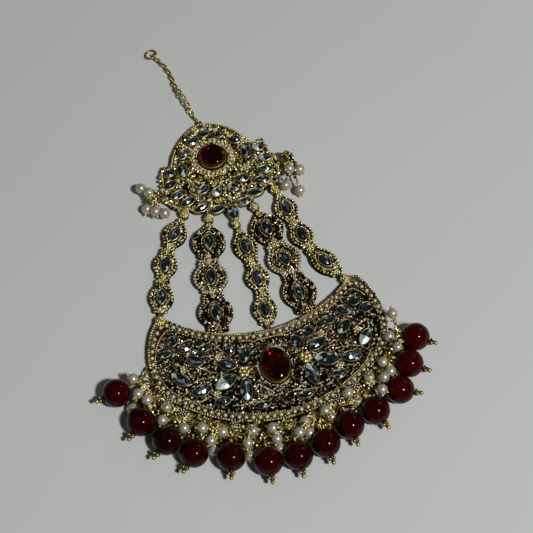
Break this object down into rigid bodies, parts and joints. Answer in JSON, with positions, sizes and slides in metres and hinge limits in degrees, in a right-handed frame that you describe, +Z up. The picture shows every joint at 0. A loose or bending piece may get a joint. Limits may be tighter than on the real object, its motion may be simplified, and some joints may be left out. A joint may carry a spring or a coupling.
{
  "type": "jhoomar",
  "caption": "Side head ornament: arched crown plate, strips of set links, a crescent plate with an oval red stone, a fringe of red beads and pearls, and a fine chain with a ring.",
  "frame": {"origin": "bottom centre of the bounding box, on the surface it lies on", "axes": "+Y along the length towards the chain's ring, +Z up out of the front face, +X to the right seen from the front"},
  "size_m": [0.095, 0.1446, 0.0078],
  "materials": {
    "gold": "pale gold plating, bright on the granules",
    "antique_gold": "darkened gold plating, brown in the recesses",
    "red_bead": "polished dark red, faintly translucent",
    "red_glass": "polished dark red glass, backed",
    "pearl": "cream imitation pearl on gold wire",
    "crystal": "mirror-backed faceted glass, grey blue"
  },
  "bodies": {
    "root": {"crown_plate": "gold", "crown_stone": "red_glass", "crescent_plate": "antique_gold", "crescent_stone": "red_glass", "strip1_link1": "gold", "strip1_link2": "gold", "strip1_link3": "gold", "strip2_link1": "antique_gold", "strip2_link2": "gold", "strip2_link3": "antique_gold", "strip3_link1": "gold", "strip3_link2": "gold", "strip3_link3": "gold", "strip4_link1": "antique_gold", "strip4_link2": "gold", "strip4_link3": "antique_gold", "strip5_link1": "gold", "strip5_link2": "gold", "strip5_link3": "gold", "red_bead_01": "red_bead", "red_bead_02": "red_bead", "red_bead_03": "red_bead", "red_bead_04": "red_bead", "red_bead_05": "red_bead", "red_bead_06": "red_bead", "red_bead_07": "red_bead", "red_bead_08": "red_bead", "red_bead_09": "red_bead", "red_bead_10": "red_bead", "red_bead_11": "red_bead", "red_bead_12": "red_bead", "red_bead_13": "red_bead", "head_pin_01": "gold", "head_pin_02": "gold", "head_pin_03": "gold", "head_pin_04": "gold", "head_pin_05": "gold", "head_pin_06": "gold", "head_pin_07": "gold", "head_pin_08": "gold", "head_pin_09": "gold", "head_pin_10": "gold", "head_pin_11": "gold", "head_pin_12": "gold", "head_pin_13": "gold", "pearl_spray_01": "pearl", "pearl_spray_02": "pearl", "pearl_spray_03": "pearl", "pearl_spray_04": "pearl", "pearl_spray_05": "pearl", "pearl_spray_06": "pearl", "pearl_spray_07": "pearl", "pearl_spray_08": "pearl", "pearl_spray_09": "pearl", "pearl_spray_10": "pearl", "pearl_spray_11": "pearl", "crown_spray_left": "pearl", "crown_spray_right": "pearl", "hook_chain": "gold", "hook_ring": "gold"}
  },
  "joints": []
}
